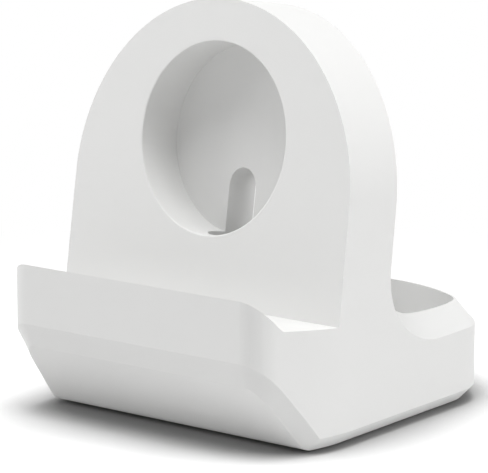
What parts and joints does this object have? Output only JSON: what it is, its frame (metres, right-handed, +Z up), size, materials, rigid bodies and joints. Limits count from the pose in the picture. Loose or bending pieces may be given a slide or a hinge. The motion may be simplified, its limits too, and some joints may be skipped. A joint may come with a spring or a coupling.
{
  "type": "smartwatch charging dock",
  "caption": "Moulded desk stand that holds a round charging puck in a leaning arched face above a lipped ledge, with a cable well behind.",
  "frame": {"origin": "on the table, under the middle of the stand's width and length", "axes": "+X to the right of someone facing the front, +Y from the front lip to the rear, +Z up"},
  "size_m": [0.055, 0.0654, 0.0624],
  "materials": {
    "white_silicone": "fine matte, as moulded",
    "grip_pad": "smooth matte"
  },
  "bodies": {
    "root": {"dock_body": "white_silicone", "base_pad": "grip_pad"}
  },
  "joints": []
}
